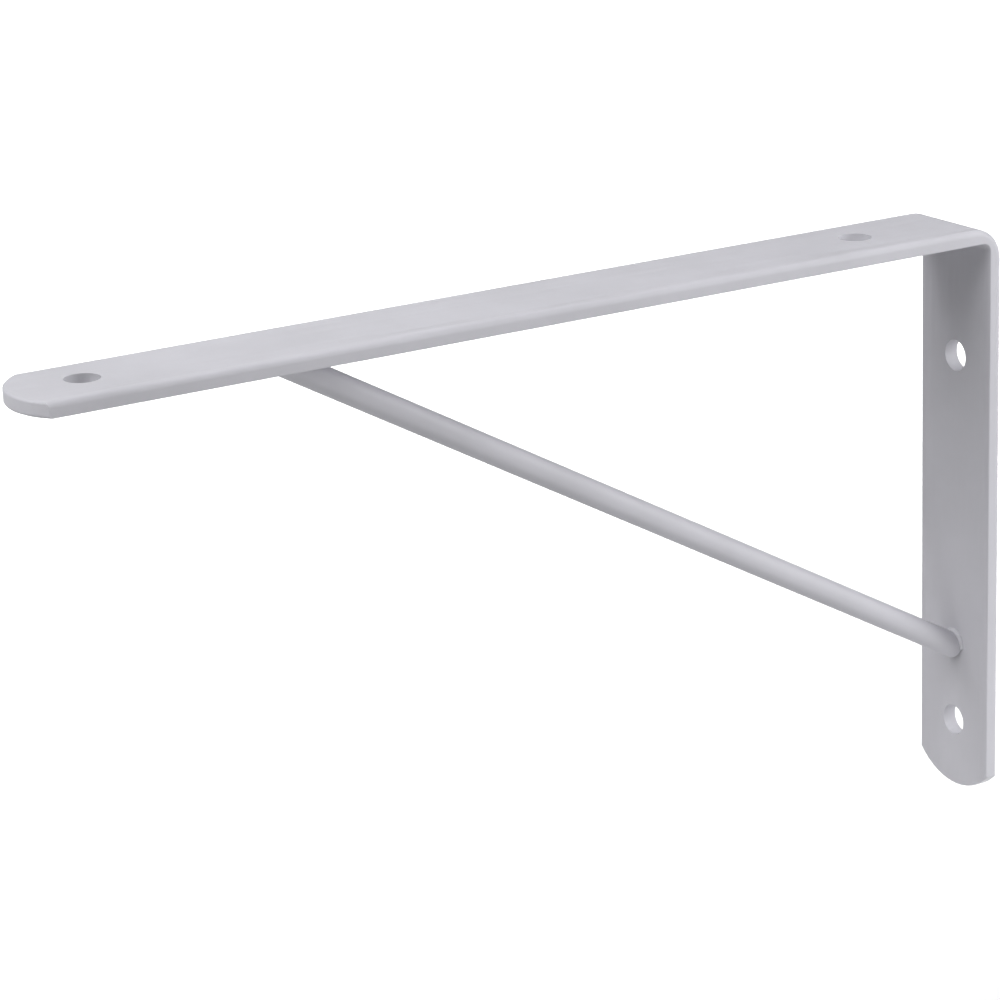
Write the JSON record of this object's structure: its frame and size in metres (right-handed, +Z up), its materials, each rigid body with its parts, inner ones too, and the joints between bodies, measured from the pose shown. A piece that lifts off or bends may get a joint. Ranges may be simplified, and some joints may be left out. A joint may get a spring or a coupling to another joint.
{
  "type": "gallows shelf bracket",
  "caption": "Right-angled flat-bar shelf bracket with a diagonal round-rod brace, rounded ends and screw holes, in silver-grey powder coat.",
  "frame": {"origin": "on the wall face, midway between the two wall screw holes", "axes": "+Z up, the arm reaches out from the wall along -Y, +Y points into the wall, X runs across the bar"},
  "size_m": [0.025, 0.24, 0.14],
  "materials": {
    "powder_coat": "semi-gloss silver-grey powder coat"
  },
  "bodies": {
    "root": {"angle_bar": "powder_coat", "strut_rod": "powder_coat", "arm_weld": "powder_coat", "wall_weld": "powder_coat"}
  },
  "joints": []
}
